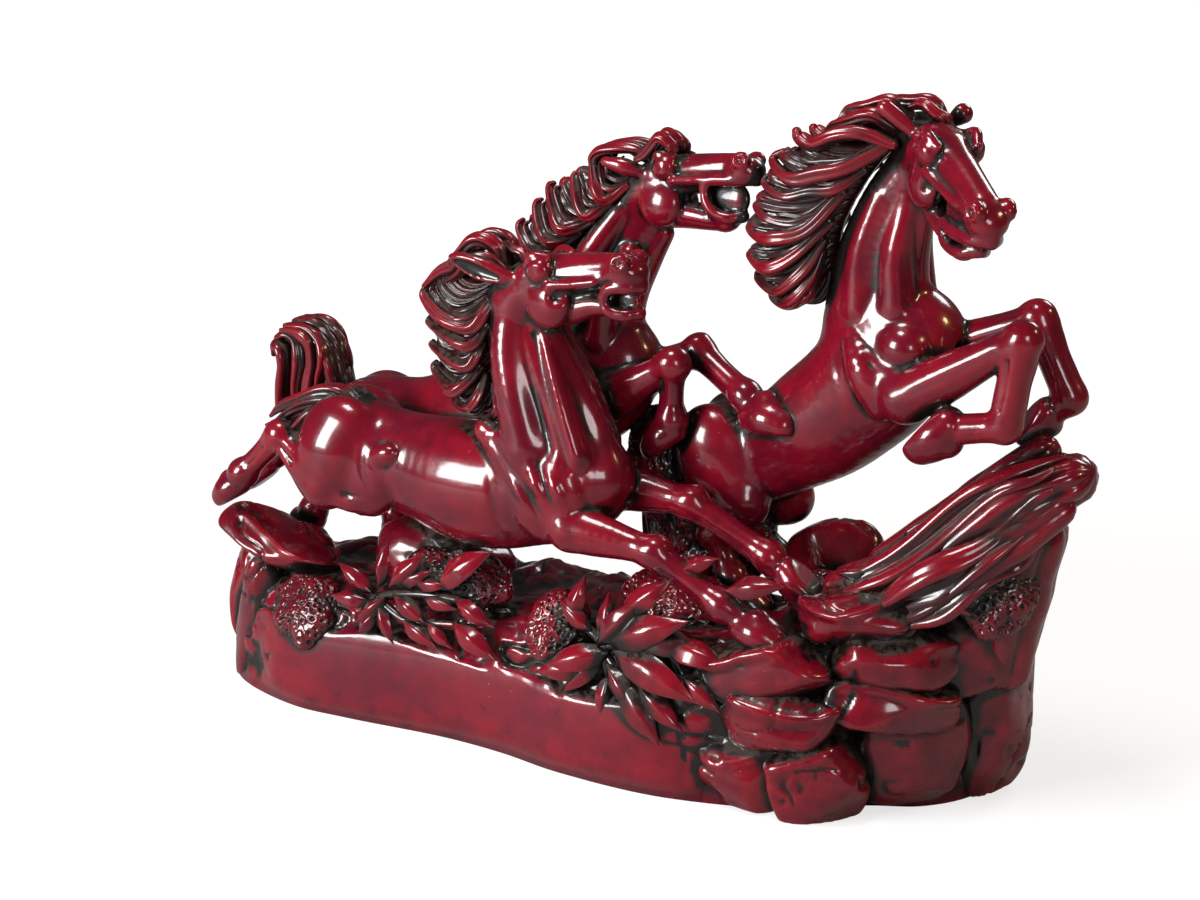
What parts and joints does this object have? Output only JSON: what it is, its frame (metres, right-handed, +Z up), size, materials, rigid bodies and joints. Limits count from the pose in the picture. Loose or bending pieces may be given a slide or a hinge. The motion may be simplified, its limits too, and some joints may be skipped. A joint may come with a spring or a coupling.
{
  "type": "horse sculpture",
  "caption": "Table sculpture of galloping horses with flying manes over a rocky, leafy base, in glossy dark red lacquered resin.",
  "frame": {"origin": "middle of the sculpture's outline seen from above, on the surface it stands on", "axes": "+X the way the horses run, along the length; +Y from the front to the back; +Z up"},
  "size_m": [0.3202, 0.0894, 0.2244],
  "materials": {
    "lacquered_body": "deep crimson lacquer over cast resin, high gloss with fine pinholes",
    "lacquered_hair": "crimson lacquer, dark brown wiped into the grooves of the hair",
    "lacquered_leaves": "crimson lacquer, dark at the veins and under the leaves",
    "lacquered_rock": "crimson lacquer, nearly black in the crevices, dusty brown on upward hollows",
    "antiqued_moss": "dark brown antiquing between small crimson beads"
  },
  "bodies": {
    "root": {"ground": "lacquered_rock", "near_horse_torso": "lacquered_body", "leaping_horse_torso": "lacquered_body", "far_horse_torso": "lacquered_body", "thicket_rock": "lacquered_rock", "near_horse_neck": "lacquered_body", "leaping_horse_neck": "lacquered_body", "far_horse_neck": "lacquered_body", "near_horse_head": "lacquered_body", "leaping_horse_head": "lacquered_body", "far_horse_head": "lacquered_body", "near_horse_near_foreleg": "lacquered_body", "near_horse_near_hindleg": "lacquered_body", "near_horse_far_foreleg": "lacquered_body", "near_horse_far_hindleg": "lacquered_body", "leaping_horse_near_foreleg": "lacquered_body", "leaping_horse_near_hindleg": "lacquered_body", "leaping_horse_far_foreleg": "lacquered_body", "leaping_horse_far_hindleg": "lacquered_body", "far_horse_near_foreleg": "lacquered_body", "far_horse_near_hindleg": "lacquered_body", "far_horse_far_foreleg": "lacquered_body", "far_horse_far_hindleg": "lacquered_body", "near_horse_mane": "lacquered_hair", "leaping_horse_mane": "lacquered_hair", "far_horse_mane": "lacquered_hair", "near_horse_tail": "lacquered_hair", "leaping_horse_tail": "lacquered_hair", "far_horse_tail": "lacquered_hair", "front_leaf_spray": "lacquered_leaves", "left_leaf_spray": "lacquered_leaves", "right_leaf_spray": "lacquered_leaves", "crag": "lacquered_rock", "rear_hump": "lacquered_rock", "belly_rock": "lacquered_rock", "ledge_slab": "lacquered_rock", "pillar_rock": "lacquered_rock", "left_end_rock": "lacquered_rock", "ridge_rock": "lacquered_rock", "hoof_rock": "lacquered_rock", "upper_middle_rock": "lacquered_rock", "middle_rock": "lacquered_rock", "lower_front_rock": "lacquered_rock", "corner_rock": "lacquered_rock", "front_foot_rock": "lacquered_rock", "middle_foot_rock": "lacquered_rock", "right_foot_rock": "lacquered_rock", "right_end_rock": "lacquered_rock", "left_moss": "antiqued_moss", "belly_moss": "antiqued_moss", "front_moss": "antiqued_moss", "middle_moss": "antiqued_moss", "right_moss": "antiqued_moss", "crag_moss": "antiqued_moss"}
  },
  "joints": []
}
